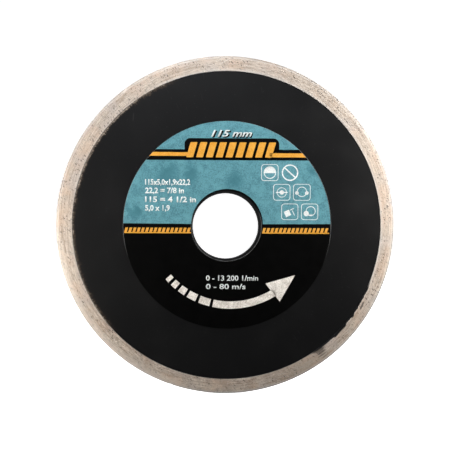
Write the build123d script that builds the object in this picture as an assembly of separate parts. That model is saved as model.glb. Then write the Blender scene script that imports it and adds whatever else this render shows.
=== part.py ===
from build123d import *
import os

# A continuous-rim diamond blade for a small angle grinder or tile saw, 115 x 22.23 mm.
# The blade stands upright. Its bore runs along Y, its label faces -Y, and +Z is the label's top.
# The origin is the middle of the bore, half way through the steel core. All sizes are in millimetres.
# Each piece is first drawn lying on its back, label up, and then stood upright.

# The blade
blade_diameter = 115.0
bore_diameter = 22.23
core_thickness = 1.3
rim_thickness = 1.9
rim_height = 5.0

# The pressing die leaves the rim's inner step a little off the bore's centre. Only the outside is ground true.
step_centre = (0.42, -0.05)

# The core's edge runs on inside the rim, and keyhole notches there lock the two together
core_into_rim = 2.0
notch_count = 48
notch_radius = 0.9
notch_inset = 0.6
bore_chamfer = 0.15

# The rim's edges, as grinding leaves them
rim_outer_round = 0.25
rim_step_round = 0.12

# The black lacquer fills each side of the core from just outside the bore to the foot of the rim's step
lacquer_thickness = 0.05
lacquer_bore_diameter = 22.6

# The printed label, a foil sticker laid on the front lacquer by hand
label_diameter = 70.9
label_thickness = 0.1
label_centre = (0.6, 0.23)

# Its hole is punched on its own, a little off the middle of the label
label_hole_diameter = 23.95
label_hole_centre = (0.3, 0.0)

# Worked out from these
blade_radius = blade_diameter / 2
step_radius = blade_radius - rim_height
core_radius = step_radius + core_into_rim
core_face = core_thickness / 2
lacquer_face = core_face + lacquer_thickness

from_below = (Align.CENTER, Align.CENTER, Align.MIN)
stand_upright = Rot(90, 0, 0)


def round_edges(solid, radius):
    """The solid's edges that are circles of this radius."""
    circles = solid.edges().filter_by(GeomType.CIRCLE)
    return circles.filter_by(lambda edge: abs(edge.radius - radius) < 0.001)


def steel_core():
    """The flat steel blank, with a broken edge at the bore and keyhole notches round the outside."""
    blank = Cylinder(core_radius, core_thickness)
    blank -= Cylinder(bore_diameter / 2, core_thickness)
    blank = chamfer(round_edges(blank, bore_diameter / 2), bore_chamfer)
    notch = Cylinder(notch_radius, core_thickness)
    blank -= PolarLocations(core_radius - notch_inset, notch_count) * notch
    return blank


def diamond_rim(core):
    """One sintered ring, thicker than the core, pressed over the core's edge and into its notches."""
    ring = Cylinder(blade_radius, rim_thickness)
    ring -= Pos(*step_centre) * Cylinder(step_radius, rim_thickness)
    ring = fillet(round_edges(ring, blade_radius), rim_outer_round)
    ring = fillet(round_edges(ring, step_radius), rim_step_round)
    return ring - core


def front_lacquer():
    """A thin flat coat on the core's front face that ends where the rim's step begins."""
    coat = Pos(*step_centre) * Cylinder(step_radius, lacquer_thickness, align=from_below)
    coat -= Cylinder(lacquer_bore_diameter / 2, lacquer_thickness, align=from_below)
    return Pos(0, 0, core_face) * coat


def back_lacquer():
    """The same coat on the back face. The step is at the same place on both sides."""
    return Pos(0, 0, -core_face - lacquer_face) * front_lacquer()


def front_label():
    """A ring of printed foil that lies on the front lacquer."""
    sticker = Pos(*label_centre) * Cylinder(label_diameter / 2, label_thickness, align=from_below)
    hole = Pos(*label_hole_centre) * Cylinder(label_hole_diameter / 2, label_thickness, align=from_below)
    return Pos(0, 0, lacquer_face) * (sticker - hole)


def blade():
    """Every piece by name, in its place on the upright blade."""
    core = steel_core()
    pieces = {
        "steel_core": core,
        "diamond_rim": diamond_rim(core),
        "front_lacquer": front_lacquer(),
        "back_lacquer": back_lacquer(),
        "front_label": front_label(),
    }
    return {name: stand_upright * piece for name, piece in pieces.items()}


os.makedirs("parts", exist_ok=True)
for name, piece in blade().items():
    piece.label = name
    export_step(piece, f"parts/{name}.step")
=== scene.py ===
# %% [markdown]
# # A continuous-rim diamond blade, 115 x 22.23 mm
# The blade is a thin steel disc, painted black on both sides, with a sintered diamond rim around it
# and a printed round label on its face. The steel, the rim, the two coats of paint and the label were
# drawn in CAD and are loaded here as a fixed frame. This lesson gives the steel and the paint their
# finishes, makes the rim and the label again with finer shapes, and adds the grit and the print.
# Everything is in metres. The blade stands upright: its bore runs along Y and its label faces -Y.

# %% Load the frame
import math
import random

import bpy
from mathutils import Matrix, Vector


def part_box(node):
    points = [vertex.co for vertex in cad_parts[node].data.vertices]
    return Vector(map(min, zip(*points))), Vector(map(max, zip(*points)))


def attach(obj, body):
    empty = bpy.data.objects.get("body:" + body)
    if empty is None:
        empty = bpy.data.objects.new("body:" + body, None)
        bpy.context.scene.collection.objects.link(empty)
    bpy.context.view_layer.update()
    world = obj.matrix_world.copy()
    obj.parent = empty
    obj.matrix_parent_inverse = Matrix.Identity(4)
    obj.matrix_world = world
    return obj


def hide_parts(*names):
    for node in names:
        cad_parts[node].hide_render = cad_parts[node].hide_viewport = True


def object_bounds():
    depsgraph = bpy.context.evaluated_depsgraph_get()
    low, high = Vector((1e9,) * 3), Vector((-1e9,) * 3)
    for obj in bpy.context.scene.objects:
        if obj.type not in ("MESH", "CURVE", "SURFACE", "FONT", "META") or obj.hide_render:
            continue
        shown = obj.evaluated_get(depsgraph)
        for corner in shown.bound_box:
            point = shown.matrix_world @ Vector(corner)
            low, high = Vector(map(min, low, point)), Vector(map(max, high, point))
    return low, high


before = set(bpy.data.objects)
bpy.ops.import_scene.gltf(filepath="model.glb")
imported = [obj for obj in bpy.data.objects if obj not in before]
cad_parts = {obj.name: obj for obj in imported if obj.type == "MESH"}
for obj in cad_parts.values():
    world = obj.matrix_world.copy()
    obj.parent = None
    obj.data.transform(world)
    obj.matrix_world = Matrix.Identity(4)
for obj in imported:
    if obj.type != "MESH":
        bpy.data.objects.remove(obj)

CAD_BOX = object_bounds()
print("CAD nodes:", sorted(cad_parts), "box:", CAD_BOX)

# %% [markdown]
# ## Sizes
# The blade is thin, so its sizes are given in millimetres and turned into metres by one number. The
# heights are measured from the middle of the steel towards the reader.

# %% Sizes of the blade, in millimetres
MM = 0.001
BLADE_RADIUS = 57.5
STEP_RADIUS = 52.5
STEP_CENTRE = (0.42, -0.05)
CORE_FACE = 0.65
LACQUER_FACE = 0.70
LABEL_FACE = 0.80
RIM_FACE = 0.95
CORE_RADIUS_IN_RIM = 54.5
LABEL_RADIUS = 35.45
LABEL_HOLE_RADIUS = 11.975
LABEL_CENTRE = (0.6, 0.23)
LABEL_HOLE_CENTRE = (0.3, 0.0)
LABEL_TURN = 0.3
low_corner, high_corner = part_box("diamond_rim")
print("rim across, mm:", (high_corner[0] - low_corner[0]) / MM)

# %% [markdown]
# ## Camera
# The blade is seen almost square on, from less than half a metre away, a few degrees above and one
# degree to the left. Its upper half is then nearer and looks larger, so the bore seems to sit low.

# %% A lens in front and slightly above
FRAME_WIDTH = 153.63 * MM
CAMERA_DISTANCE = 400.0 * MM
CAMERA_RISE = math.radians(3.3)
CAMERA_SIDE = math.radians(-1.1)
CAMERA_AIM = (-0.12 * MM, 0.0, 0.29 * MM)
camera_data = bpy.data.cameras.new("camera")
camera_data.sensor_width = 36.0
camera_data.lens = camera_data.sensor_width * CAMERA_DISTANCE / FRAME_WIDTH
camera_data.clip_start = 0.01
camera = bpy.data.objects.new("camera", camera_data)
bpy.context.scene.collection.objects.link(camera)
level_distance = CAMERA_DISTANCE * math.cos(CAMERA_RISE)
camera.location = (
    CAMERA_AIM[0] + level_distance * math.sin(CAMERA_SIDE),
    CAMERA_AIM[1] - level_distance * math.cos(CAMERA_SIDE),
    CAMERA_AIM[2] + CAMERA_DISTANCE * math.sin(CAMERA_RISE),
)
camera.rotation_euler = (math.radians(90.0) - CAMERA_RISE, 0.0, CAMERA_SIDE)
bpy.context.scene.camera = camera
print("lens, mm:", round(camera_data.lens, 1))

# %% [markdown]
# ## Studio
# Catalogue pictures of tools stand on white, and the light comes from softboxes. Five small ones stand
# beside and above the blade, close to it and a little in front of its face, so that each lights the
# part of the rim next to it and the foot stays darker. One farther in front gives the face a soft
# sheen, three behind light the back, and two at the sides light the cutting edge.

# %% Colours are shown as they are
bpy.context.scene.view_settings.view_transform = "Standard"
bpy.context.scene.view_settings.look = "None"

# %% White surroundings for the eye, dim ones for the light
world = bpy.data.worlds.new("studio_surroundings")
bpy.context.scene.world = world
world.use_nodes = True
world_tree = world.node_tree
surroundings = world_tree.nodes["Background"]
surroundings.inputs["Color"].default_value = (0.82, 0.86, 0.90, 1.0)
surroundings.inputs["Strength"].default_value = 0.02
white_wall = world_tree.nodes.new("ShaderNodeBackground")
white_wall.inputs["Color"].default_value = (1.0, 1.0, 1.0, 1.0)
white_wall.inputs["Strength"].default_value = 1.05
ray_kind = world_tree.nodes.new("ShaderNodeLightPath")
either = world_tree.nodes.new("ShaderNodeMixShader")
world_tree.links.new(ray_kind.outputs["Is Camera Ray"], either.inputs[0])
world_tree.links.new(surroundings.outputs[0], either.inputs[1])
world_tree.links.new(white_wall.outputs[0], either.inputs[2])
world_tree.links.new(either.outputs[0], world_tree.nodes["World Output"].inputs["Surface"])

# %% Softboxes
def softbox(name, place, aim, width, height, power, warmth=(1.0, 1.0, 1.0)):
    """An area light at a place, turned to face a point."""
    lamp_data = bpy.data.lights.new(name, "AREA")
    lamp_data.shape = "RECTANGLE"
    lamp_data.size = width
    lamp_data.size_y = height
    lamp_data.energy = power
    lamp_data.color = warmth
    lamp = bpy.data.objects.new(name, lamp_data)
    lamp.location = place
    facing = Vector(aim) - Vector(place)
    lamp.rotation_euler = facing.to_track_quat("-Z", "Y").to_euler()
    lamp.visible_camera = False
    bpy.context.scene.collection.objects.link(lamp)


def around(angle, reach, towards_reader):
    """A place beside the blade, at an angle from its right-hand side and a distance from its axis."""
    turn = math.radians(angle)
    return (reach * math.cos(turn), -towards_reader, reach * math.sin(turn))


def near_box(name, angle, power, warmth):
    """A small softbox beside the blade and a little in front of it, facing the nearest part."""
    aim = around(angle, 0.03, 0.0)
    softbox(name, around(angle, 0.13, 0.075), aim, 0.05, 0.05, power, warmth)


WARM = (1.0, 0.95, 0.88)
PALE = (1.0, 0.98, 0.945)
COOL = (0.93, 0.96, 1.0)
near_box("box_right", 20, 0.159, PALE)
near_box("box_right_low", -5, 0.056, WARM)
near_box("box_top", 105, 0.142, COOL)
near_box("box_left", 180, 0.115, WARM)
near_box("box_left_low", 203, 0.070, WARM)
softbox("box_sheen", (-0.03, -0.62, 0.17), (0.0, 0.0, 0.04), 0.10, 0.06, 0.12, COOL)
BACK_AIM = (0.0, 0.0, 0.01)
softbox("box_back_right", (0.26, 0.24, 0.20), BACK_AIM, 0.20, 0.20, 1.3)
softbox("box_back_left", (-0.28, 0.22, 0.14), BACK_AIM, 0.20, 0.20, 0.9)
softbox("box_back_low", (0.28, 0.27, 0.0), BACK_AIM, 0.16, 0.09, 0.35)
softbox("box_edge_right", (0.36, 0.0, -0.02), (0.05, 0.0, -0.02), 0.05, 0.06, 0.22)
softbox("box_edge_left", (-0.36, 0.0, -0.02), (-0.05, 0.0, -0.02), 0.05, 0.06, 0.22)

# %% [markdown]
# ## A small tool for finishes
# A finish is a net of nodes. Written out node by node it is long and hard to read, so one small class
# holds a node's output and lets plain arithmetic add the Math nodes. Every other kind of node comes
# from its one method, which makes the settings first and joins the inputs after them.

# %% Wires that add up like numbers
class Wire:
    """The output of a node. Arithmetic on it adds Math nodes to the same finish."""

    def __init__(self, socket):
        self.socket = socket
        self.tree = socket.id_data

    def node(self, kind, inputs, output=0, **settings):
        """Add one node: first its settings, then the values or wires of its inputs."""
        added = self.tree.nodes.new(kind)
        for setting, value in settings.items():
            setattr(added, setting, value)
        for place, value in inputs.items():
            if isinstance(value, Wire):
                self.tree.links.new(value.socket, added.inputs[place])
            else:
                added.inputs[place].default_value = value
        return Wire(added.outputs[output])

    def maths(self, operation, first, second):
        return self.node("ShaderNodeMath", {0: first, 1: second}, operation=operation)

    def __add__(self, other):
        return self.maths("ADD", self, other)

    def __radd__(self, other):
        return self.maths("ADD", other, self)

    def __sub__(self, other):
        return self.maths("SUBTRACT", self, other)

    def __rsub__(self, other):
        return self.maths("SUBTRACT", other, self)

    def __mul__(self, other):
        return self.maths("MULTIPLY", self, other)

    def __rmul__(self, other):
        return self.maths("MULTIPLY", other, self)

    def __truediv__(self, other):
        return self.maths("DIVIDE", self, other)

    def __pow__(self, other):
        return self.maths("POWER", self, other)


# %% Helpers for places and shades
def start_finish(name, **constants):
    """A new material, and a wire with the place on the piece in millimetres."""
    material = bpy.data.materials.new(name)
    material.use_nodes = True
    shader = material.node_tree.nodes["Principled BSDF"]
    for socket, value in constants.items():
        shader.inputs[socket.replace("_", " ")].default_value = value
    coordinates = Wire(material.node_tree.nodes.new("ShaderNodeTexCoord").outputs["Object"])
    place = coordinates.node("ShaderNodeVectorMath", {0: coordinates, "Scale": 1 / MM}, operation="SCALE")
    return material, place


def feed(material, colour, roughness, relief=None, metallic=None):
    """Join the finished wires to the material's shader."""
    shader = material.node_tree.nodes["Principled BSDF"]
    links = material.node_tree.links
    links.new(colour.socket, shader.inputs["Base Color"])
    links.new(roughness.socket, shader.inputs["Roughness"])
    if metallic is not None:
        links.new(metallic.socket, shader.inputs["Metallic"])
    if relief is not None:
        links.new(relief.socket, shader.inputs["Normal"])
    print("finish:", material.name, "nodes:", len(material.node_tree.nodes))


def split(vector):
    """The three parts of a vector."""
    parts = vector.node("ShaderNodeSeparateXYZ", {0: vector})
    outputs = parts.socket.node.outputs
    return Wire(outputs[0]), Wire(outputs[1]), Wire(outputs[2])


def joined(first, second, third):
    """A vector from three parts, of which the first is a wire."""
    return first.node("ShaderNodeCombineXYZ", {0: first, 1: second, 2: third})


def noise(place, per_mm, detail=2.0, roughness=0.5, distortion=0.0):
    """Cloudy noise from 0 to 1 with so many clouds in a millimetre."""
    settings = {"Vector": place, "Scale": per_mm, "Detail": detail, "Roughness": roughness}
    settings["Distortion"] = distortion
    return place.node("ShaderNodeTexNoise", settings)


def cells(place, per_mm, output):
    """Flat Voronoi cells: output 0 is the distance from the middle, output 1 a colour for each cell."""
    settings = {"Vector": place, "Scale": per_mm}
    return place.node("ShaderNodeTexVoronoi", settings, output=output, voronoi_dimensions="2D")


def specks(place, per_mm, share, radius, soft=0.6):
    """Round specks: so many cells in a millimetre, the share of them that holds one, and its size."""
    pick = split(cells(place, per_mm, 1))[0]
    size = radius * per_mm
    inside = ease(cells(place, per_mm, 0), size, size * soft)
    return inside * ease(pick, 1.0 - share, 1.02 - share)


def ease(wire, start, end):
    """A smooth step that rises from 0 at start to 1 at end."""
    bounds = {0: wire, 1: start, 2: end, 3: 0.0, 4: 1.0}
    return wire.node("ShaderNodeMapRange", bounds, interpolation_type="SMOOTHSTEP")


def blend(amount, first, second):
    """A colour between two colours."""
    sides = {0: amount, 6: first, 7: second}
    return amount.node("ShaderNodeMix", sides, output=2, data_type="RGBA")


def greater(first, second):
    """The greater of two wires."""
    return first.maths("MAXIMUM", first, second)


def bumped(height, depth_mm, strength=1.0):
    """Relief from a height that runs from 0 to 1, for the given depth."""
    return height.node("ShaderNodeBump", {"Strength": strength, "Distance": depth_mm * MM, "Height": height})


def shade(red, green, blue):
    """A colour given as it looks on a screen, from 0 to 255."""
    def straight(value):
        value = value / 255
        return value / 12.92 if value <= 0.04045 else ((value + 0.055) / 1.055) ** 2.4

    return (straight(red), straight(green), straight(blue), 1.0)


# %% Helpers for round patterns
def distance_from(x, z, centre):
    """Distance in millimetres from a point of the face."""
    return ((x - centre[0]) ** 2.0 + (z - centre[1]) ** 2.0) ** 0.5


def laid_flat(x, y, z):
    """A flat place that also changes across the cutting edge, for specks."""
    return joined(x + y * 0.6, z + y * 0.8, 0.0)


def turned_place(x, y, z, radius, across, along):
    """A vector in which noise is drawn out into streaks that run around the bore."""
    return joined((radius + y) * across, x / radius * along, z / radius * along)


def near_angle(x, z, radius, angle, half_width, fade):
    """1 within half_width degrees of an angle around the bore, falling to 0 over fade degrees."""
    turn = math.radians(angle)
    facing = (x * math.cos(turn) + z * math.sin(turn)) / radius
    outer = math.cos(math.radians(half_width + fade))
    inner = math.cos(math.radians(half_width))
    return ease(facing, outer, inner)


# %% [markdown]
# ## Sintered rim finish
# The rim is metal powder and diamond grit pressed and baked together, then ground flat on a lathe-like
# grinder. It looks warm grey, with fine streaks around the bore, dark pits and grains, pinker and
# greyer patches and a polished band at the rounded step. Painted shade darkens the foot in patches, and
# a painted highlight runs along the step. Streaks are noise sampled on the radius and on the direction
# from the bore, so they follow the circle without a seam.

# %% Sintered rim: where things are
rim_finish, rim_place = start_finish("sintered_rim_finish", IOR=1.6)
rim_x, rim_y, rim_z = split(rim_place)
rim_radius = (rim_x * rim_x + rim_z * rim_z) ** 0.5
step_distance = distance_from(rim_x, rim_z, STEP_CENTRE)
rim_depth = rim_y.node("ShaderNodeMath", {0: rim_y}, operation="ABSOLUTE")


def rim_side(angle, half_width, fade):
    """1 on a side of the rim, within half_width degrees of an angle, fading over fade degrees."""
    return near_angle(rim_x, rim_z, rim_radius, angle, half_width, fade)


# %% Sintered rim: streaks and patches
def rim_streaks(across, along, detail):
    """Streaks around the bore: how many in a millimetre across, and in a radian along."""
    return noise(turned_place(rim_x, rim_y, rim_z, rim_radius, across, along), 1.0, detail, 0.6)


fine_streaks = rim_streaks(5.5, 24.0, 3.0)
long_streaks = rim_streaks(2.6, 4.5, 3.0)
broad_streaks = rim_streaks(0.9, 6.0, 2.0)
powder = noise(rim_place, 4.5, 3.0, 0.65)
patches = noise(rim_place, 0.16, 2.0, 0.5, 0.4)
cool_patches = noise(rim_place, 0.11, 1.0, 0.5)

# %% Sintered rim: grains and pits
stray = noise(rim_place, 1.3, 3.0, 0.7) * 2.2
rim_flat = laid_flat(rim_x + stray, rim_y, rim_z - stray)
crowded = 0.4 + ease(noise(rim_place, 0.22, 2.0), 0.42, 0.56) * 0.6
pits = specks(rim_flat, 1.0, 0.42, 0.25) * crowded
fine_pits = specks(rim_flat, 2.2, 0.36, 0.14) * crowded
pale_flecks = specks(rim_flat, 1.7, 0.30, 0.14)

# %% Sintered rim: colour
streak_mix = ease(long_streaks * 0.38 + fine_streaks * 0.37 + powder * 0.25, 0.40, 0.60)
rim_colour = blend(streak_mix, (0.375, 0.296, 0.236, 1.0), (0.73, 0.645, 0.560, 1.0))
rim_colour = blend(ease(patches, 0.42, 0.72) * 0.5, rim_colour, (0.62, 0.455, 0.345, 1.0))
rim_colour = blend(ease(cool_patches, 0.5, 0.74) * 0.4, rim_colour, (0.50, 0.455, 0.440, 1.0))
dark_lines = ease(long_streaks, 0.57, 0.68) * ease(broad_streaks, 0.38, 0.56)
rim_colour = blend(dark_lines * 0.6, rim_colour, (0.24, 0.180, 0.140, 1.0))
# Painted shade: darker patches at the foot of the rim, where the light from above is weakest.
painted_foot_shade = ease(noise(rim_place, 0.32, 5.0, 0.65), 0.46, 0.58) * rim_side(252, 34, 14)
rim_colour = blend(painted_foot_shade * 0.34, rim_colour, (0.27, 0.215, 0.18, 1.0))
rim_colour = blend(ease(fine_streaks, 0.60, 0.76) * 0.45, rim_colour, (0.84, 0.780, 0.720, 1.0))
rim_colour = blend(pale_flecks * 0.4, rim_colour, (0.90, 0.860, 0.820, 1.0))
rim_colour = blend(pits * 0.9 + fine_pits * 0.6, rim_colour, (0.075, 0.058, 0.048, 1.0))

# %% Sintered rim: worn outer edge with painted shade, polished step with a painted highlight
STEP_HIGHLIGHT_TO = 52.86
outer_line = ease(rim_radius, 56.6, 56.9) * ease(rim_radius, 57.15, 57.0)
rim_colour = blend(outer_line * 0.4, rim_colour, (0.78, 0.76, 0.745, 1.0))
# Grey wear along the outer edge all round. Painted shade makes it heavier at the lower right.
edge_wear_and_shade = ease(rim_radius + broad_streaks * 0.2, 57.15, 57.32)
lower_right_shade = rim_side(315, 50, 30)
rim_colour = blend(edge_wear_and_shade * (0.15 + lower_right_shade * 0.45), rim_colour, (0.36, 0.36, 0.365, 1.0))
ground_side = rim_side(166, 46, 10)
worn_side = rim_side(222, 24, 18)
pale_margin = ease(rim_radius + (powder - 0.5) * 1.2, 54.8, 56.5) * worn_side
rim_colour = blend(pale_margin * 0.40, rim_colour, (0.80, 0.73, 0.66, 1.0))
# Painted highlight along the rounded step. The wider band is partly the real polish of the ground corner,
# and the thin line is painted light. Both are weaker on the left and are left out at the foot, where less
# light falls.
unlit_foot = rim_side(255, 45, 20)
polish_and_highlight = ease(step_distance + (powder - 0.5) * 0.6, 53.60, 52.95) * (1.0 - ground_side * 0.6)
polish_and_highlight = polish_and_highlight * (1.0 - unlit_foot)
rim_colour = blend(polish_and_highlight * 0.35, rim_colour, (0.83, 0.79, 0.75, 1.0))
# Painted highlight: the thin bright line along the step.
painted_step_highlight = ease(step_distance, STEP_HIGHLIGHT_TO, 52.70) * ease(powder, 0.2, 0.6) * (1.0 - ground_side * 0.8)
painted_step_highlight = painted_step_highlight * (1.0 - unlit_foot * 0.85)
rim_colour = blend(painted_step_highlight * 0.6, rim_colour, (0.86, 0.83, 0.80, 1.0))
print("bright line inside, mm:", round(STEP_HIGHLIGHT_TO - STEP_RADIUS, 2))

# %% [markdown]
# The whole blade is painted first and the raised rim is then ground bare. Two low spots of the rim at
# the lower right kept their paint, and the wall of the step is painted too. A smudge and a scratch
# are marks of use.

# %% Sintered rim: paint left in low places
def low_spot(angle, radius, half_length, half_width):
    """Paint left in a shallow dip, longer around the bore than across it."""
    turn = math.radians(angle)
    centre_x = radius * math.cos(turn)
    centre_z = radius * math.sin(turn)
    across = (rim_x - centre_x) * math.cos(turn) + (rim_z - centre_z) * math.sin(turn)
    along = (rim_z - centre_z) * math.cos(turn) - (rim_x - centre_x) * math.sin(turn)
    reach = (across / half_width) ** 2.0 + (along / half_length) ** 2.0
    return ease(reach + (powder - 0.5) * 0.9, 1.25, 0.85)


step_wall = ease(step_distance + (powder - 0.5) * 0.16, 52.60, 52.52) * (1.0 - ground_side * 0.85)
dipped = rim_side(321, 15, 5)
paint_reach = dipped * 0.40 + rim_side(317.5, 2.4, 1.2) * 0.38
ragged = (noise(rim_place, 1.4, 3.0, 0.7) - 0.5) * 0.75
edge_spill = ease(step_distance + ragged - paint_reach, 52.66, 52.58)
below_face = ease(rim_depth, 0.99, 0.90)
edge_spill = edge_spill * greater(below_face, dipped)
kept_paint = greater(step_wall, edge_spill)
for spot in ((324.6, 52.8, 0.95, 1.05), (315.6, 52.8, 0.75, 1.0)):
    kept_paint = greater(kept_paint, low_spot(*spot))
smudge = ease(distance_from(rim_x, rim_z, (32.6, -43.0)) + (long_streaks - 0.5) * 5.0, 2.5, 0.6)
smudge = smudge * ease(fine_streaks, 0.25, 0.50) * 0.8
dirt = rim_side(299, 5, 7) * ease(fine_streaks * 0.5 + long_streaks * 0.5, 0.45, 0.54)
kept_paint = greater(kept_paint, greater(smudge, dirt * 0.30))
rim_colour = blend(kept_paint, rim_colour, (0.004, 0.004, 0.0045, 1.0))

# %% Sintered rim: scratches
def scratch(x, z, start, end, width):
    """1 on a straight thin mark between two points of the face."""
    length = math.dist(start, end)
    way_x = (end[0] - start[0]) / length
    way_z = (end[1] - start[1]) / length
    along = (x - start[0]) * way_x + (z - start[1]) * way_z
    across = (x - start[0]) * way_z - (z - start[1]) * way_x
    side = across.node("ShaderNodeMath", {0: across}, operation="ABSOLUTE")
    ends = ease(along, 0.0, length * 0.2) * ease(along, length, length * 0.8)
    return ease(side, width, width * 0.3) * ends


long_mark = scratch(rim_x, rim_z, (-2.2, 54.6), (2.0, 57.0), 0.16)
dark_mark = scratch(rim_x, rim_z, (46.1, -29.0), (47.5, -25.8), 0.42)
cross_mark = scratch(rim_x, rim_z, (-46.5, 29.0), (-43.2, 34.4), 0.12)
rim_colour = blend(long_mark * 0.5 + cross_mark * 0.4, rim_colour, (0.86, 0.83, 0.80, 1.0))
rim_colour = blend(dark_mark * 0.8, rim_colour, (0.05, 0.045, 0.04, 1.0))

# %% Sintered rim: sheen and relief
bare = 1.0 - kept_paint
rim_roughness = (0.50 + (powder - 0.5) * 0.25 + pits * 0.2 - painted_step_highlight * 0.12) * bare + kept_paint * 0.30
rim_metal = (0.45 + (fine_streaks - 0.5) * 0.5 + painted_step_highlight * 0.25 - pits * 0.3) * bare
rim_height = fine_streaks * 0.5 + long_streaks * 0.3 + powder * 0.35 - pits * 0.7 - fine_pits * 0.3
rim_relief = bumped(rim_height * (1.0 - kept_paint * 0.8), 0.05, 0.8)
feed(rim_finish, rim_colour, rim_roughness, rim_relief, rim_metal)

# %% [markdown]
# ## Black lacquer
# The steel is sprayed with black lacquer. It is satin, with a faint orange peel, dust and hairline
# scratches. At the upper left the grinder also caught the lacquer beside the rim: there it is thin
# and brown, with bare steel showing through and a dark line at the foot of the step.

# %% Lacquer: peel, dust and hairlines
def lacquer(name, worn_edge):
    """Black lacquer for one side of the blade, with or without the ground edge."""
    finish, place = start_finish(name, IOR=1.40)
    x, y, z = split(place)
    radius = (x * x + z * z) ** 0.5
    peel = noise(place, 1.1, 2.0, 0.5)
    mist = noise(place, 0.07, 3.0, 0.55)
    speckle = noise(place, 6.0, 2.0, 0.6)
    dust = specks(laid_flat(x, y, z), 0.30, 0.30, 0.17, 0.4)
    spokes = joined(radius * 0.35, x / radius * 150.0, z / radius * 150.0)
    hairlines = ease(noise(spokes, 1.0, 1.0, 0.5), 0.70, 0.78) * ease(noise(place, 0.09, 1.0), 0.48, 0.60)
    colour = blend(speckle, (0.0029, 0.0030, 0.0034, 1.0), (0.0048, 0.0049, 0.0054, 1.0))
    colour = blend(ease(mist, 0.45, 0.75) * 0.5, colour, (0.0068, 0.0069, 0.0074, 1.0))
    marks = scratch(x, z, (-31.0, 38.6), (-31.3, 35.4), 0.22)
    marks = marks + scratch(x, z, (12.0, 47.5), (12.6, 44.9), 0.16) * 0.5
    marks = marks + scratch(x, z, (-8.5, 45.2), (-7.6, 42.4), 0.14) * 0.4
    colour = blend(dust * 0.12 + hairlines * 0.08 + marks * 0.10, colour, (0.16, 0.16, 0.165, 1.0))
    roughness = 0.36 + (mist - 0.5) * 0.12 + (speckle - 0.5) * 0.10 + dust * 0.1
    metal = None
    height = peel * 0.8 + speckle * 0.2 + dust * 0.3 - hairlines * 0.2
    if worn_edge:
        colour, roughness, metal, loss = ground_edge(place, x, z, radius, colour, roughness)
        height = height - loss * 0.6
    feed(finish, colour, roughness, bumped(height, 0.02, 0.5), metal)
    return finish


# %% Lacquer: the ground edge
def ground_edge(place, x, z, radius, colour, roughness):
    """Lacquer worn through beside the rim, worst at the upper left."""
    reach = distance_from(x, z, STEP_CENTRE)
    inner_edge = 52.46 - 0.22 * near_angle(x, z, radius, 167, 40, 16)
    inner_edge = inner_edge - 0.30 * near_angle(x, z, radius, 146, 12, 16)
    hairs = noise(joined(radius * 0.7, x / radius * 170.0, z / radius * 170.0), 1.0, 3.0, 0.7) - 0.5
    teeth = hairs * 2.6 + (noise(place, 0.7, 2.0, 0.6) - 0.5) * 1.2
    worn_side = near_angle(x, z, radius, 166, 50, 10)
    loss = ease(reach + teeth * worn_side, inner_edge, inner_edge + 0.30) * worn_side
    # Darker in a thin line at the foot of the step.
    foot = ease(reach + (noise(place, 1.7, 2.0) - 0.5) * 0.3, 52.30, 52.44)
    foot = foot * near_angle(x, z, radius, 172, 36, 12)
    browned = ease(reach + teeth * 1.5, 51.5, 52.3) * worn_side * 0.8
    colour = blend(browned, colour, (0.060, 0.044, 0.032, 1.0))
    flecks = ease(noise(place, 4.0, 2.0, 0.6), 0.40, 0.62)
    steel = blend(flecks, (0.13, 0.098, 0.074, 1.0), (0.50, 0.430, 0.365, 1.0))
    steel = blend(foot * 0.7, steel, (0.110, 0.084, 0.064, 1.0))
    colour = blend(loss, colour, steel)
    roughness = roughness * (1.0 - loss) + loss * 0.5
    return colour, roughness, loss * 0.6, loss


front_black = lacquer("front_lacquer_finish", True)
back_black = lacquer("back_lacquer_finish", False)

# %% [markdown]
# ## Bare steel
# The core is rolled steel. It only shows in the wall of the bore, where the punch left fine lines
# along the hole, and the paint has crept over the chamfers.

# %% Steel of the core
steel_finish, steel_place = start_finish("core_steel_finish", IOR=2.2)
steel_x, steel_y, steel_z = split(steel_place)
punch_lines = noise(joined(steel_y * 0.7, steel_x * 7.0, steel_z * 7.0), 1.0, 3.0, 0.6)
tarnish = noise(steel_place, 0.6, 3.0, 0.6)
steel_depth = steel_y.node("ShaderNodeMath", {0: steel_y}, operation="ABSOLUTE")
steel_colour = blend(punch_lines, (0.36, 0.35, 0.335, 1.0), (0.60, 0.59, 0.575, 1.0))
steel_colour = blend(ease(tarnish, 0.45, 0.75) * 0.6, steel_colour, (0.20, 0.17, 0.145, 1.0))
crept_paint = ease(steel_depth + (noise(steel_place, 2.0, 3.0, 0.6) - 0.5) * 0.25, 0.44, 0.52)
steel_colour = blend(crept_paint, steel_colour, (0.012, 0.012, 0.013, 1.0))
steel_roughness = 0.34 + tarnish * 0.2 + crept_paint * 0.1
steel_relief = bumped(punch_lines, 0.03, 0.6)
feed(steel_finish, steel_colour, steel_roughness, steel_relief, 0.95 - crept_paint * 0.95)

# %% Put the finishes on the CAD nodes that stay
def finish_cad_node(node, material):
    """A CAD node keeps its mesh and gets a new material in each of its slots."""
    for material_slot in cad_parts[node].material_slots:
        material_slot.material = material
    print("finished:", node)


finish_cad_node("steel_core", steel_finish)
finish_cad_node("front_lacquer", front_black)
finish_cad_node("back_lacquer", back_black)

# %% [markdown]
# ## Shaping round pieces
# The rim and the label are rings with a section. Each could be spun from a drawn section. Here a
# circle is added and extruded from corner to corner of the section instead, because each circle of
# the ring can then be given its own size and centre, and the rim's step is a little off centre.

# %% Starting clean
def deselect_everything():
    """Leave edit mode and let go of whatever is selected, such as the loaded CAD nodes."""
    if bpy.context.object and bpy.context.object.mode != "OBJECT":
        bpy.ops.object.mode_set(mode="OBJECT")
    bpy.ops.object.select_all(action="DESELECT")


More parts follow.
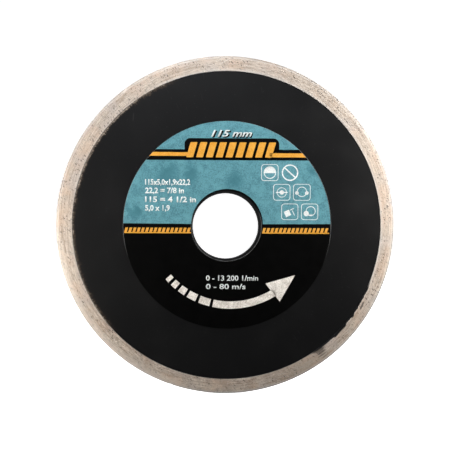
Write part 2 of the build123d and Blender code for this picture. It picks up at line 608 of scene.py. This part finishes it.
def hold(piece):
    """Make one piece the selected and active one."""
    deselect_everything()
    piece.select_set(True)
    bpy.context.view_layer.objects.active = piece


def name_piece(piece, name):
    piece.name = name
    piece.data.name = name
    print("made:", name, "faces:", len(piece.data.polygons))
    return piece


def settle():
    """Put the place, turn and size of the held piece into its mesh, so that its object is at zero."""
    bpy.ops.object.transform_apply(location=True, rotation=True, scale=True)


def edit_everything():
    """Enter edit mode with the whole piece selected."""
    bpy.ops.object.mode_set(mode="EDIT")
    bpy.ops.mesh.select_all(action="SELECT")


def leave_edit_mode():
    bpy.ops.object.mode_set(mode="OBJECT")


# %% A ring from its section
RIM_STEPS = 1080
LABEL_STEPS = 540


def turned_ring(name, section, steps):
    """A closed ring. The section lists (radius, height) in millimetres, once around."""
    deselect_everything()
    first_radius, first_height = section[0]
    bpy.ops.mesh.primitive_circle_add(
        vertices=steps,
        radius=first_radius * MM,
        fill_type="NOTHING",
        location=(0.0, -first_height * MM, 0.0),
        rotation=(math.radians(90.0), 0.0, 0.0),
    )
    ring = bpy.context.object
    settle()
    edit_everything()
    closed_section = section + section[:1]
    for (radius, height), (next_radius, next_height) in zip(closed_section, closed_section[1:]):
        rise = -(next_height - height) * MM
        growth = next_radius / radius
        bpy.ops.mesh.extrude_region_move(TRANSFORM_OT_translate={"value": (0.0, rise, 0.0)})
        bpy.ops.transform.resize(value=(growth, 1.0, growth), center_override=(0.0, 0.0, 0.0))
    bpy.ops.mesh.select_all(action="SELECT")
    bpy.ops.mesh.remove_doubles(threshold=0.001 * MM)
    bpy.ops.mesh.normals_make_consistent(inside=False)
    leave_edit_mode()
    return name_piece(ring, name)


def rounded(radius, height, size, start, end, steps):
    """Points of a rounded corner: its middle, its size, and the angles it runs between."""
    points = []
    for step in range(steps + 1):
        turn = math.radians(start + (end - start) * step / steps)
        points.append((radius + size * math.cos(turn), height + size * math.sin(turn)))
    return points


# %% [markdown]
# ## The rim
# The rim is 5 mm high and 1.9 mm thick, with a groove inside that holds the core. Its outer corners
# are rounded by grinding, its inner ones a little. The section runs from the foot of the front step,
# over the face and the cutting edge, to the back, and returns through the groove.

# %% Section and ring
OUTER_ROUND = 0.25
STEP_ROUND = 0.12
rim_front = rounded(STEP_RADIUS + STEP_ROUND, RIM_FACE - STEP_ROUND, STEP_ROUND, 180, 90, 4)
rim_front += [(53.6, RIM_FACE), (55.4, RIM_FACE)]
rim_front += rounded(BLADE_RADIUS - OUTER_ROUND, RIM_FACE - OUTER_ROUND, OUTER_ROUND, 90, 0, 6)
rim_back = [(radius, -height) for radius, height in reversed(rim_front)]
groove = [(CORE_RADIUS_IN_RIM, -CORE_FACE), (CORE_RADIUS_IN_RIM, CORE_FACE)]
rim_section = [(STEP_RADIUS, CORE_FACE)] + rim_front + rim_back + [(STEP_RADIUS, -CORE_FACE)] + groove
rim = turned_ring("rim_ring", rim_section, RIM_STEPS)

# %% [markdown]
# The pressing die leaves the step a little off the bore's centre, and only the outside is ground true.
# The inner circles of the ring are therefore selected by their radius and moved across.

# %% Move the step off centre
def select_points(piece, wanted):
    """Hold a piece in edit mode with only the vertices selected whose place is wanted."""
    hold(piece)
    bpy.ops.object.mode_set(mode="EDIT")
    bpy.ops.mesh.select_mode(type="VERT")
    bpy.ops.mesh.select_all(action="DESELECT")
    leave_edit_mode()
    for vertex in piece.data.vertices:
        vertex.select = wanted(vertex.co)
    bpy.ops.object.mode_set(mode="EDIT")


def push_points(piece, wanted, right, away, up):
    """Move the wanted points of a piece by three distances in metres."""
    select_points(piece, wanted)
    bpy.ops.transform.translate(value=(right, away, up))
    leave_edit_mode()


def from_bore(place):
    """How far a place is from the axis of the bore, in millimetres."""
    return math.hypot(place.x, place.z) / MM


STEP_ZONE = 53.0
push_points(rim, lambda place: from_bore(place) < STEP_ZONE, STEP_CENTRE[0] * MM, 0.0, STEP_CENTRE[1] * MM)

# %% [markdown]
# A rim that has been handled and run has small chips on its edge. Each chip is a few points of the
# outer corner, selected by their angle and pushed a tenth of a millimetre or two towards the bore.

# %% Chip the outer edge
CORNER_ZONE = 57.3


def chip_edge(piece, angle, width, depth):
    """Push in the outer corner over a width in degrees."""
    def in_chip(place):
        turn = math.degrees(math.atan2(place.z, place.x))
        return from_bore(place) > CORNER_ZONE and abs((turn - angle + 180) % 360 - 180) < width / 2

    select_points(piece, in_chip)
    shrink = 1.0 - depth / BLADE_RADIUS
    bpy.ops.transform.resize(value=(shrink, 0.9, shrink), center_override=(0.0, 0.0, 0.0))
    leave_edit_mode()


chips = [(11.7, 0.7, 0.16), (23.6, 0.9, 0.14), (98.0, 0.6, 0.09), (141.0, 0.8, 0.10)]
chips += [(163.0, 0.5, 0.12), (202.0, 0.7, 0.09), (251.0, 0.9, 0.10), (318.0, 0.6, 0.10)]
for angle, width, depth in chips:
    chip_edge(rim, angle, width, depth)
print("chips:", len(chips))

# %% Finish the rim
def dress(piece, material):
    """Give a piece its finish, and the body that it belongs to."""
    piece.data.materials.clear()
    piece.data.materials.append(material)
    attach(piece, "root")


hold(rim)
bpy.ops.object.shade_smooth_by_angle(angle=math.radians(35.0))
dress(rim, rim_finish)
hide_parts("diamond_rim")

# %% [markdown]
# ## Diamond grit
# Diamonds of 0.1 to 0.3 mm stand in the rim's faces and cutting edge, each sunk to about its middle in
# the powder metal. One small crystal is modelled: an icosphere cut flat on two sides. The others are
# copies, each with its own mesh, scattered by a seeded random generator and joined into one piece.

# %% Finish of the grit
grit_finish, grit_place = start_finish("diamond_grit_finish", IOR=2.4)
grit_tint = noise(grit_place, 1.3, 2.0, 0.6)
grit_facets = noise(grit_place, 7.0, 2.0, 0.6)
grit_colour = blend(grit_tint, (0.06, 0.052, 0.042, 1.0), (0.30, 0.255, 0.19, 1.0))
grit_colour = blend(grit_facets * 0.4, grit_colour, (0.42, 0.38, 0.31, 1.0))
feed(grit_finish, grit_colour, 0.22 + grit_facets * 0.25, bumped(grit_facets, 0.02, 0.4))

# %% One crystal
deselect_everything()
bpy.ops.mesh.primitive_ico_sphere_add(subdivisions=1, radius=1.0)
crystal = bpy.context.object
bpy.ops.object.mode_set(mode="EDIT")
for cut, facing in (((0, 0, 0.62), (0, 0, 1)), ((0.68, 0, 0), (1, 0.25, 0.1))):
    bpy.ops.mesh.select_all(action="SELECT")
    bpy.ops.mesh.bisect(plane_co=cut, plane_no=facing, use_fill=True, clear_outer=True)
leave_edit_mode()
name_piece(crystal, "crystal")

# %% Scatter copies over the rim
GRAINS = 520
GRAIN_SIZES = (0.06, 0.12)
SUNK_IN_FACE = 0.05
SUNK_IN_EDGE = 0.10
scatter = random.Random(115)


def set_crystal(place, size):
    """A copy of the crystal with its own mesh, turned at random."""
    copy = crystal.copy()
    copy.data = crystal.data.copy()
    copy.location = place
    copy.rotation_euler = [scatter.uniform(0, math.tau) for axis in range(3)]
    copy.scale = [size * scatter.uniform(0.8, 1.2) for axis in range(3)]
    bpy.context.scene.collection.objects.link(copy)
    return copy


crystals = []
for number in range(GRAINS):
    turn = scatter.uniform(0, math.tau)
    size = scatter.uniform(*GRAIN_SIZES) * MM
    side = (-1.0, 1.0, 0.0)[number % 3]
    reach = scatter.uniform(53.2, 57.2) if side else BLADE_RADIUS - SUNK_IN_EDGE
    height = side * (RIM_FACE - SUNK_IN_FACE) if side else scatter.uniform(-0.65, 0.65)
    spot = (reach * math.cos(turn) * MM, height * MM, reach * math.sin(turn) * MM)
    crystals.append(set_crystal(spot, size))

# %% Join them into one piece
def join(pieces, name):
    """Several pieces become one mesh, with its place in the mesh."""
    deselect_everything()
    for piece in pieces:
        piece.select_set(True)
    bpy.context.view_layer.objects.active = pieces[0]
    bpy.ops.object.join()
    settle()
    return name_piece(bpy.context.object, name)


bpy.data.objects.remove(crystal)
grit = join(crystals, "rim_grit")
dress(grit, grit_finish)

# %% [markdown]
# ## The label
# The label is a foil disc, 70.9 mm across, stuck on 0.6 mm to the right of the bore's middle and
# turned a hair clockwise. Under the print it is black, and its cut edges show the pale foil, painted in
# only on the sides that face up, as a painted highlight. It is a ring with a slightly pressed edge, so
# the light catches it. Its hole is punched on its own and never quite in the middle, so the ring is
# turned first, and the points round the hole are then pushed over.

# %% Label foil
PRESSED = 0.04
HOLE_ZONE = 20.0
foil_section = [(LABEL_RADIUS, LACQUER_FACE), (LABEL_RADIUS, LABEL_FACE - PRESSED)]
foil_section += [(LABEL_RADIUS - PRESSED, LABEL_FACE), (LABEL_HOLE_RADIUS + PRESSED, LABEL_FACE)]
foil_section += [(LABEL_HOLE_RADIUS, LABEL_FACE - PRESSED), (LABEL_HOLE_RADIUS, LACQUER_FACE)]
foil = turned_ring("label_foil", foil_section, LABEL_STEPS)
foil.location = (LABEL_CENTRE[0] * MM, 0.0, LABEL_CENTRE[1] * MM)
settle()
hole_shift = [(hole - label) * MM for hole, label in zip(LABEL_HOLE_CENTRE, LABEL_CENTRE)]
push_points(foil, lambda place: from_bore(place) < HOLE_ZONE, hole_shift[0], 0.0, hole_shift[1])
bpy.ops.object.shade_smooth_by_angle(angle=math.radians(20.0))

# %% [markdown]
# ## Printing inks
# The print is one layer of ink each: black, blue-green, orange, white and the pale grey of the
# arrow. Ink on foil is never even. It is mottled where it was pressed on, has a fine grain and picks
# up darker thumb marks, so every ink mixes a broad and a fine noise into its colour.

# %% Inks
def mixed_ink(name, shades, grain, roughness):
    """A printed ink from a deep, a full and a pale colour. Its wires can be changed before feeding."""
    finish, place = start_finish(name, IOR=1.28)
    mottle = noise(place, 0.45, 4.0, 0.6, 0.3)
    fine = noise(place, 2.3, 3.0, 0.7)
    colour = blend(ease(mottle * 0.4 + fine * 0.6, 0.38, 0.60), shades[0], shades[1])
    colour = blend(ease(fine, 0.58, 0.80) * grain, colour, shades[2])
    sheen = roughness + (fine - 0.5) * 0.12 + (mottle - 0.5) * 0.10
    return finish, place, colour, sheen, bumped(fine * 0.6 + mottle * 0.4, 0.01, 0.5)


def plain_ink(name, shades, grain, roughness):
    """A printed ink with nothing added to it."""
    finish, place, colour, sheen, relief = mixed_ink(name, shades, grain, roughness)
    feed(finish, colour, sheen, relief)
    return finish


# %% Blue-green ink with thumb marks
TEAL_SHADES = (shade(73, 120, 132), shade(96, 150, 161), shade(120, 168, 177))
teal_finish, teal_place, teal_colour, teal_sheen, teal_relief = mixed_ink(
    "teal_ink", TEAL_SHADES, 0.40, 0.42
)
teal_x, _, teal_z = split(teal_place)
thumb_cloud = noise(teal_place, 0.20, 4.0, 0.65)


def thumb_mark(centre, reach):
    """A soft dark smudge around a point of the label."""
    return ease(distance_from(teal_x, teal_z, centre) + (thumb_cloud - 0.5) * 9.0, reach, reach * 0.2)


thumbs = thumb_mark((-20.0, 17.5), 6.0)
more_thumbs = (((3.2, 14.8), 5.0), ((-11.5, 18.0), 4.0), ((-30.0, 5.0), 3.5), ((29.0, 18.5), 3.5))
for centre, reach in more_thumbs:
    thumbs = greater(thumbs, thumb_mark(centre, reach))
teal_colour = blend(thumbs * 0.75, teal_colour, shade(58, 108, 120))
feed(teal_finish, teal_colour, teal_sheen, teal_relief)

# %% Black, orange and white inks
BLACK_SHADES = ((0.0002, 0.0002, 0.0002, 1.0), (0.0007, 0.0007, 0.0007, 1.0), (0.003, 0.003, 0.003, 1.0))
ORANGE_SHADES = (shade(206, 144, 48), shade(219, 161, 70), shade(232, 188, 116))
WHITE_SHADES = (shade(196, 205, 206), shade(229, 233, 233), shade(246, 247, 247))
black_finish = plain_ink("black_ink", BLACK_SHADES, 0.3, 0.33)
orange_finish = plain_ink("orange_ink", ORANGE_SHADES, 0.3, 0.42)
white_finish = plain_ink("white_ink", WHITE_SHADES, 0.4, 0.45)

# %% Grey ink of the arrow, with specks
ARROW_SHADES = (shade(188, 182, 174), shade(238, 234, 228), shade(250, 248, 245))
arrow_finish, arrow_place, arrow_colour, arrow_sheen, arrow_relief = mixed_ink(
    "arrow_ink", ARROW_SHADES, 0.6, 0.5
)
arrow_specks = ease(noise(arrow_place, 3.8, 2.0, 0.7), 0.56, 0.70)
arrow_colour = blend(arrow_specks * 0.45, arrow_colour, shade(120, 110, 98))
feed(arrow_finish, arrow_colour, arrow_sheen, arrow_relief)

# %% Black foil with pale cut edges, painted as a highlight on the sides that face up
foil_finish, foil_place, foil_colour, foil_sheen, foil_relief = mixed_ink(
    "label_foil_finish", BLACK_SHADES, 0.3, 0.33
)
foil_x, _, foil_z = split(foil_place)
foil_reach = distance_from(foil_x, foil_z, LABEL_CENTRE)
rough_cut = (noise(foil_place, 1.2, 3.0, 0.7) - 0.5) * 0.12
# Painted highlight: the pale foil of the cut edges shows only on the upper part of the outer edge and the
# lower part of the hole's edge, the sides that face the light from above.
pale_edge_highlight = ease(foil_reach + rough_cut, LABEL_RADIUS - 0.10, LABEL_RADIUS - 0.02)
pale_edge_highlight = pale_edge_highlight * ease(foil_z, -14.0, 2.0)
hole_reach = distance_from(foil_x, foil_z, LABEL_HOLE_CENTRE)
pale_hole_highlight = ease(hole_reach + rough_cut, LABEL_HOLE_RADIUS + 0.13, LABEL_HOLE_RADIUS + 0.05)
pale_hole_highlight = pale_hole_highlight * ease(foil_z, 7.0, 1.0)
foil_colour = blend(pale_edge_highlight * 0.75 + pale_hole_highlight * 0.42, foil_colour, (0.42, 0.43, 0.44, 1.0))
feed(foil_finish, foil_colour, foil_sheen, foil_relief)
dress(foil, foil_finish)
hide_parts("front_label")

# %% [markdown]
# ## Drawing the print
# Each ink is drawn flat, like a paper cut-out lying on a table, with the label's middle at zero. A
# shape is then given the thickness of its ink, stood up, turned with the label and laid on it. Where
# inks overlap, each lies a few thousandths of a millimetre above the last.

# %% Laying ink on the label
INK_THICKNESS = 0.010
PRINT_CENTRE = (LABEL_CENTRE[0] - 0.05, LABEL_CENTRE[1] + 0.14)
TEAL_LEVEL = LABEL_FACE + 0.006
BLACK_LEVEL = LABEL_FACE + 0.009
ORANGE_LEVEL = LABEL_FACE + 0.012
WHITE_LEVEL = LABEL_FACE + 0.015


def lay_ink(piece, height, name, finish):
    """Give a flat drawing its thickness and put it on the label at a height in millimetres."""
    hold(piece)
    thicken = piece.modifiers.new("thicken", "SOLIDIFY")
    thicken.thickness = INK_THICKNESS * MM
    thicken.offset = -1.0
    bpy.ops.object.modifier_apply(modifier=thicken.name)
    stand = Matrix.Rotation(math.radians(90.0), 4, "X")
    turn = Matrix.Rotation(math.radians(LABEL_TURN), 4, "Y")
    shift = Matrix.Translation((PRINT_CENTRE[0] * MM, -height * MM, PRINT_CENTRE[1] * MM))
    piece.matrix_world = shift @ turn @ stand
    settle()
    name_piece(piece, name)
    dress(piece, finish)


# %% Flat rings and the parts of them between lines
def flat_ring(inner, outer, steps):
    """A flat ring around the label's middle, from two circles."""
    deselect_everything()
    bpy.ops.mesh.primitive_circle_add(vertices=steps, radius=outer * MM, fill_type="NOTHING")
    edit_everything()
    bpy.ops.mesh.extrude_region_move(TRANSFORM_OT_translate={"value": (0.0, 0.0, 0.0)})
    shrink = inner / outer
    bpy.ops.transform.resize(value=(shrink, shrink, 1.0), center_override=(0.0, 0.0, 0.0))
    bpy.ops.mesh.select_all(action="SELECT")
    bpy.ops.mesh.normals_make_consistent(inside=False)
    leave_edit_mode()
    return bpy.context.object


def trim(piece, point, facing):
    """Cut a flat drawing along a line and drop the side the line's arrow points to."""
    hold(piece)
    edit_everything()
    place = (point[0] * MM, point[1] * MM, 0.0)
    bpy.ops.mesh.bisect(plane_co=place, plane_no=(facing[0], facing[1], 0.0), clear_outer=True)
    leave_edit_mode()


def face_up(piece):
    """Turn every face of a flat drawing towards the reader."""
    hold(piece)
    piece.data.update()
    if piece.data.polygons[0].normal.z < 0:
        edit_everything()
        bpy.ops.mesh.flip_normals()
        leave_edit_mode()
    return piece


# %% [markdown]
# ### Blue-green field
# The upper half of the label is blue-green, down to a line through the middle of the hole.

# %% Blue-green field
PRINT_EDGE = LABEL_RADIUS - 0.16
HOLE_EDGE = LABEL_HOLE_RADIUS + 0.25
TEAL_FOOT = 0.32
teal_field = face_up(flat_ring(HOLE_EDGE, PRINT_EDGE, LABEL_STEPS))
trim(teal_field, (0.0, TEAL_FOOT), (0.0, -1.0))
lay_ink(teal_field, TEAL_LEVEL, "teal_print", teal_finish)

# %% [markdown]
# ### Black header
# A black band crosses the label near its top, and a rounded black panel rises from it. Both are cut
# from simple shapes: the band from a ring between two lines, the panel from a plane whose corners
# are bevelled.

# %% Plates with rounded corners
def plate(left, bottom, right, top, corner_size=0.0, lean=0.0):
    """A flat plate between two corners, rounded, its top pushed sideways by lean."""
    deselect_everything()
    middle = ((left + right) / 2 * MM, (bottom + top) / 2 * MM, 0.0)
    bpy.ops.mesh.primitive_plane_add(size=1.0, location=middle)
    drawing = bpy.context.object
    drawing.scale = ((right - left) * MM, (top - bottom) * MM, 1.0)
    settle()
    if lean:
        push_points(drawing, lambda place: place.y > middle[1], lean * MM, 0.0, 0.0)
    if corner_size:
        edit_everything()
        bpy.ops.mesh.bevel(offset=corner_size * MM, segments=5, affect="VERTICES")
        leave_edit_mode()
    return drawing


def band(bottom, top):
    """The part of the label between two level lines."""
    drawing = face_up(flat_ring(HOLE_EDGE, PRINT_EDGE, LABEL_STEPS))
    trim(drawing, (0.0, top), (0.0, 1.0))
    trim(drawing, (0.0, bottom), (0.0, -1.0))
    return drawing


# %% Header band and panel
header_band = band(22.0, 25.65)
header_panel = plate(-14.55, 22.2, 17.6, 29.45, 1.9)

# %% [markdown]
# ### Numbers
# Only sizes and speeds are printed here, as plain numbers. Text starts as a text object in Blender's
# own letters. It is made a mesh, and then scaled so that it is exactly as wide and as high as the
# line it stands in.

# %% Lines of numbers
def lettering(text, slant, weight):
    """Text as a flat mesh, one unit high, standing on its line."""
    deselect_everything()
    bpy.ops.object.text_add()
    line = bpy.context.object
    line.data.body = text
    line.data.shear = slant
    line.data.offset = weight
    line.data.resolution_u = 3
    bpy.ops.object.convert(target="MESH")
    return bpy.context.object


def numbers(text, left, base, width, height, slant=0.0, weight=0.02):
    """A line of numbers on the label: its left end, its base, its width and its digits' height."""
    sample = lettering("1", 0.0, weight)
    digit_height = max(vertex.co.y for vertex in sample.data.vertices)
    bpy.data.objects.remove(sample)
    line = lettering(text, slant, weight)
    xs = [vertex.co.x for vertex in line.data.vertices]
    wide = width * MM / (max(xs) - min(xs))
    line.scale = (wide, height * MM / digit_height, 1.0)
    line.location = (left * MM - min(xs) * wide, base * MM, 0.0)
    settle()
    return line


# %% Size mark with its shadow
mark_shadow = numbers("115 mm", -5.25, 29.75, 13.9, 2.2, 0.32, 0.045)
header_black = join([header_band, header_panel], "header_black")
lay_ink(header_black, BLACK_LEVEL, "header_print", black_finish)
lay_ink(mark_shadow, BLACK_LEVEL, "shadow_print", black_finish)
size_mark = numbers("115 mm", -5.55, 30.05, 13.9, 2.2, 0.32, 0.02)

# %% [markdown]
# ### Orange ornament
# An orange stripe runs through the header on both sides of a row of leaning bars. The same bars,
# smaller and joined by a thin line, run along the middle of the label. They stand in for lettering,
# so they are all alike. One bar is drawn and copied.

# %% Leaning bars
def row_of_bars(left, right, bottom, top, pitch, width, lean, corner_size):
    """Equal leaning bars between two ends, copied from one, each with its own mesh."""
    first = plate(left, bottom, left + width, top, corner_size, lean)
    bars = [first]
    count = int((right - left - width - lean) / pitch) + 1
    for number in range(1, count):
        copy = first.copy()
        copy.data = first.data.copy()
        copy.location = (number * pitch * MM, 0.0, 0.0)
        bpy.context.scene.collection.objects.link(copy)
        bars.append(copy)
    print("bars:", len(bars))
    return bars


orange_shapes = row_of_bars(-14.0, 17.1, 22.95, 28.1, 3.34, 2.35, 1.5, 0.25)

# %% Stripes beside the bars
left_stripe = band(23.4, 24.68)
trim(left_stripe, (-13.3, 0.0), (1.0, 0.0))
right_stripe = band(23.05, 24.45)
trim(right_stripe, (14.2, 0.0), (-1.0, 0.0))
orange_shapes += [left_stripe, right_stripe]

# %% Bars and lines through the middle
for start, end in ((-35.05, -12.2), (11.9, 35.05)):
    orange_shapes += row_of_bars(start, end, -2.65, -1.0, 1.42, 0.92, 0.5, 0.0)
    orange_shapes.append(plate(start + 0.1, -2.92, end - 0.1, -2.55))
orange_print = join(orange_shapes, "orange_print")
lay_ink(orange_print, ORANGE_LEVEL, "orange_print", orange_finish)

# %% [markdown]
# ### White symbols
# Six plain symbols stand at the right, five of them in rounded frames. A frame is a rounded plate
# that is inset, with the middle taken out. Each symbol is only a few rings, discs and bars.

# %% Frames
def frame_around(left, bottom, right, top, line=0.19):
    """A thin rounded frame."""
    drawing = plate(left, bottom, right, top, 1.0)
    hold(drawing)
    bpy.ops.object.mode_set(mode="EDIT")
    bpy.ops.mesh.select_mode(type="FACE")
    bpy.ops.mesh.select_all(action="SELECT")
    bpy.ops.mesh.inset(thickness=line * MM)
    bpy.ops.mesh.delete(type="FACE")
    bpy.ops.mesh.select_mode(type="VERT")
    leave_edit_mode()
    return drawing


def small_ring(x, y, inner, outer):
    """A flat ring around a point."""
    drawing = face_up(flat_ring(inner, outer, 48))
    drawing.location = (x * MM, y * MM, 0.0)
    settle()
    return drawing


def small_disc(x, y, radius):
    """A filled disc around a point."""
    deselect_everything()
    place = (x * MM, y * MM, 0.0)
    bpy.ops.mesh.primitive_circle_add(vertices=40, radius=radius * MM, fill_type="NGON", location=place)
    settle()
    return face_up(bpy.context.object)


def tilted_bar(x, y, length, width, angle):
    """A thin bar around a point, tilted by an angle."""
    drawing = plate(-length / 2, -width / 2, length / 2, width / 2)
    drawing.location = (x * MM, y * MM, 0.0)
    drawing.rotation_euler = (0.0, 0.0, math.radians(angle))
    settle()
    return drawing


# %% The six symbols
white_shapes = [frame_around(11.56, 15.05, 17.4, 20.7), small_ring(14.5, 17.9, 1.85, 2.1)]
half_disc = small_disc(14.5, 17.9, 2.0)
trim(half_disc, (0.0, 17.7), (0.0, -1.0))
white_shapes.append(half_disc)
white_shapes += [small_ring(21.35, 17.88, 2.38, 2.8), tilted_bar(21.35, 17.88, 5.0, 0.42, -42.0)]
white_shapes += [frame_around(15.7, 8.4, 21.5, 14.0), small_ring(18.6, 11.15, 1.5, 1.7)]
white_shapes += [small_disc(18.6, 11.15, 0.75), tilted_bar(18.6, 11.15, 4.0, 0.34, 0.0)]
white_shapes += [frame_around(22.5, 8.4, 28.4, 14.05), small_ring(25.45, 11.4, 1.5, 1.72)]
white_shapes += [small_disc(23.75, 11.0, 0.62), small_disc(27.15, 11.0, 0.62)]
white_shapes += [frame_around(18.5, 1.8, 24.25, 7.35), tilted_bar(20.6, 4.0, 1.9, 2.0, 25.0)]
white_shapes += [tilted_bar(22.1, 5.4, 1.5, 0.22, 25.0), tilted_bar(22.6, 4.2, 0.22, 1.9, 25.0)]
white_shapes += [frame_around(25.25, 1.8, 31.05, 7.35), small_ring(28.5, 4.8, 1.45, 1.68)]
white_shapes += [small_disc(27.0, 4.0, 0.9), tilted_bar(28.4, 3.5, 2.2, 0.28, 0.0)]

# %% Numbers on the blue-green and on the black
SIZE_LEFT = -27.9
SIZE_HEIGHT = 1.85
SPEED_LEFT = -7.1
SPEED_HEIGHT = 1.74
white_shapes += [
    numbers("115x5,0x1,9x22,2", SIZE_LEFT, 13.6, 15.3, SIZE_HEIGHT, 0.0, 0.03),
    numbers("22,2 = 7/8 in", SIZE_LEFT, 10.75, 13.2, SIZE_HEIGHT, 0.0, 0.03),
    numbers("115 = 4 1/2 in", SIZE_LEFT, 7.72, 17.3, SIZE_HEIGHT, 0.0, 0.03),
    numbers("5,0 x 1,9", SIZE_LEFT, 4.8, 8.4, SIZE_HEIGHT, 0.0, 0.03),
    numbers("0 - 13 200 1/min", SPEED_LEFT, -19.05, 17.85, SPEED_HEIGHT, 0.0, 0.02),
    numbers("0 - 80 m/s", SPEED_LEFT, -21.95, 13.55, SPEED_HEIGHT, 0.0, 0.02),
    size_mark,
]
white_print = join(white_shapes, "white_print")
lay_ink(white_print, WHITE_LEVEL, "white_print", white_finish)

# %% [markdown]
# ### Turning arrow
# The arrow shows which way the blade turns. Its tail is five dashes that grow towards the head. Each
# dash and the body are parts of one flat ring, cut by two lines through its middle. The ring is then
# moved, because it was printed a little up and to the right of the label's middle.

# %% Dashes and body
def arc_part(inner, outer, start, end):
    """The part of a flat ring between two angles less than half a turn apart."""
    drawing = face_up(flat_ring(inner, outer, 720))
    first = math.radians(start)
    last = math.radians(end)
    trim(drawing, (0.0, 0.0), (math.sin(first), -math.cos(first)))
    trim(drawing, (0.0, 0.0), (-math.sin(last), math.cos(last)))
    return drawing


ARROW_CENTRE = (1.16, 0.55)
ARROW_RADIUS = 28.03
ARROW_WIDTH = 2.5
ARROW_TAIL = -138.9
BODY_END = -57.0
GAP = 1.05
inner = ARROW_RADIUS - ARROW_WIDTH / 2
outer = ARROW_RADIUS + ARROW_WIDTH / 2
arrow_shapes = []
dash_start = ARROW_TAIL
for length in (1.46, 1.97, 2.42, 3.21, 3.78):
    dash_end = dash_start + math.degrees(length / ARROW_RADIUS)
    arrow_shapes.append(arc_part(inner, outer, dash_start, dash_end))
    dash_start = dash_end + math.degrees(GAP / ARROW_RADIUS)
arrow_shapes.append(arc_part(inner, outer, dash_start, BODY_END))
for arc in arrow_shapes:
    arc.location = (ARROW_CENTRE[0] * MM, ARROW_CENTRE[1] * MM, 0.0)

# %% Head
deselect_everything()
bpy.ops.mesh.primitive_circle_add(vertices=3, radius=1.0 * MM, fill_type="NGON")
arrow_head = bpy.context.object
head_corners = [(23.4, -17.1), (13.2, -20.05), (18.2, -26.2)]
for vertex, place in zip(arrow_head.data.vertices, head_corners):
    vertex.co = (place[0] * MM, place[1] * MM, 0.0)
arrow_shapes.append(face_up(arrow_head))
arrow_print = join(arrow_shapes, "arrow_print")
lay_ink(arrow_print, WHITE_LEVEL, "arrow_print", arrow_finish)

# %% [markdown]
# ## Floor
# The blade stands on a wide white floor. Its material is part light and part white paint, so it stays
# white and still takes a soft shadow where the blade touches it. It doesn't light the blade.

# %% Floor
deselect_everything()
bpy.ops.mesh.primitive_plane_add(size=30.0, location=(0.0, 0.0, CAD_BOX[0][2] - 0.02 * MM))
floor = bpy.context.object
floor.name = "floor"
floor_paint = bpy.data.materials.new("floor_paint")
floor_paint.use_nodes = True
floor_shader = floor_paint.node_tree.nodes["Principled BSDF"]
floor_shader.inputs["Base Color"].default_value = (0.8, 0.8, 0.8, 1.0)
floor_shader.inputs["Roughness"].default_value = 0.9
floor_shader.inputs["Emission Strength"].default_value = 1.0
floor_place = Wire(floor_paint.node_tree.nodes.new("ShaderNodeTexCoord").outputs["Object"])
floor_x, floor_y, _ = split(floor_place)
floor_reach = (floor_x * floor_x + floor_y * floor_y) ** 0.5
# The glow is weaker within about ten centimetres of the blade: painted shade around its foot, which also
# lets the real shadow show.
floor_glow_dimmed_at_foot = 0.86 + ease(floor_reach, 0.03, 0.11) * 0.16
floor_paint.node_tree.links.new(floor_glow_dimmed_at_foot.socket, floor_shader.inputs["Emission Color"])
floor.data.materials.append(floor_paint)
floor.visible_diffuse = False
floor.visible_glossy = False
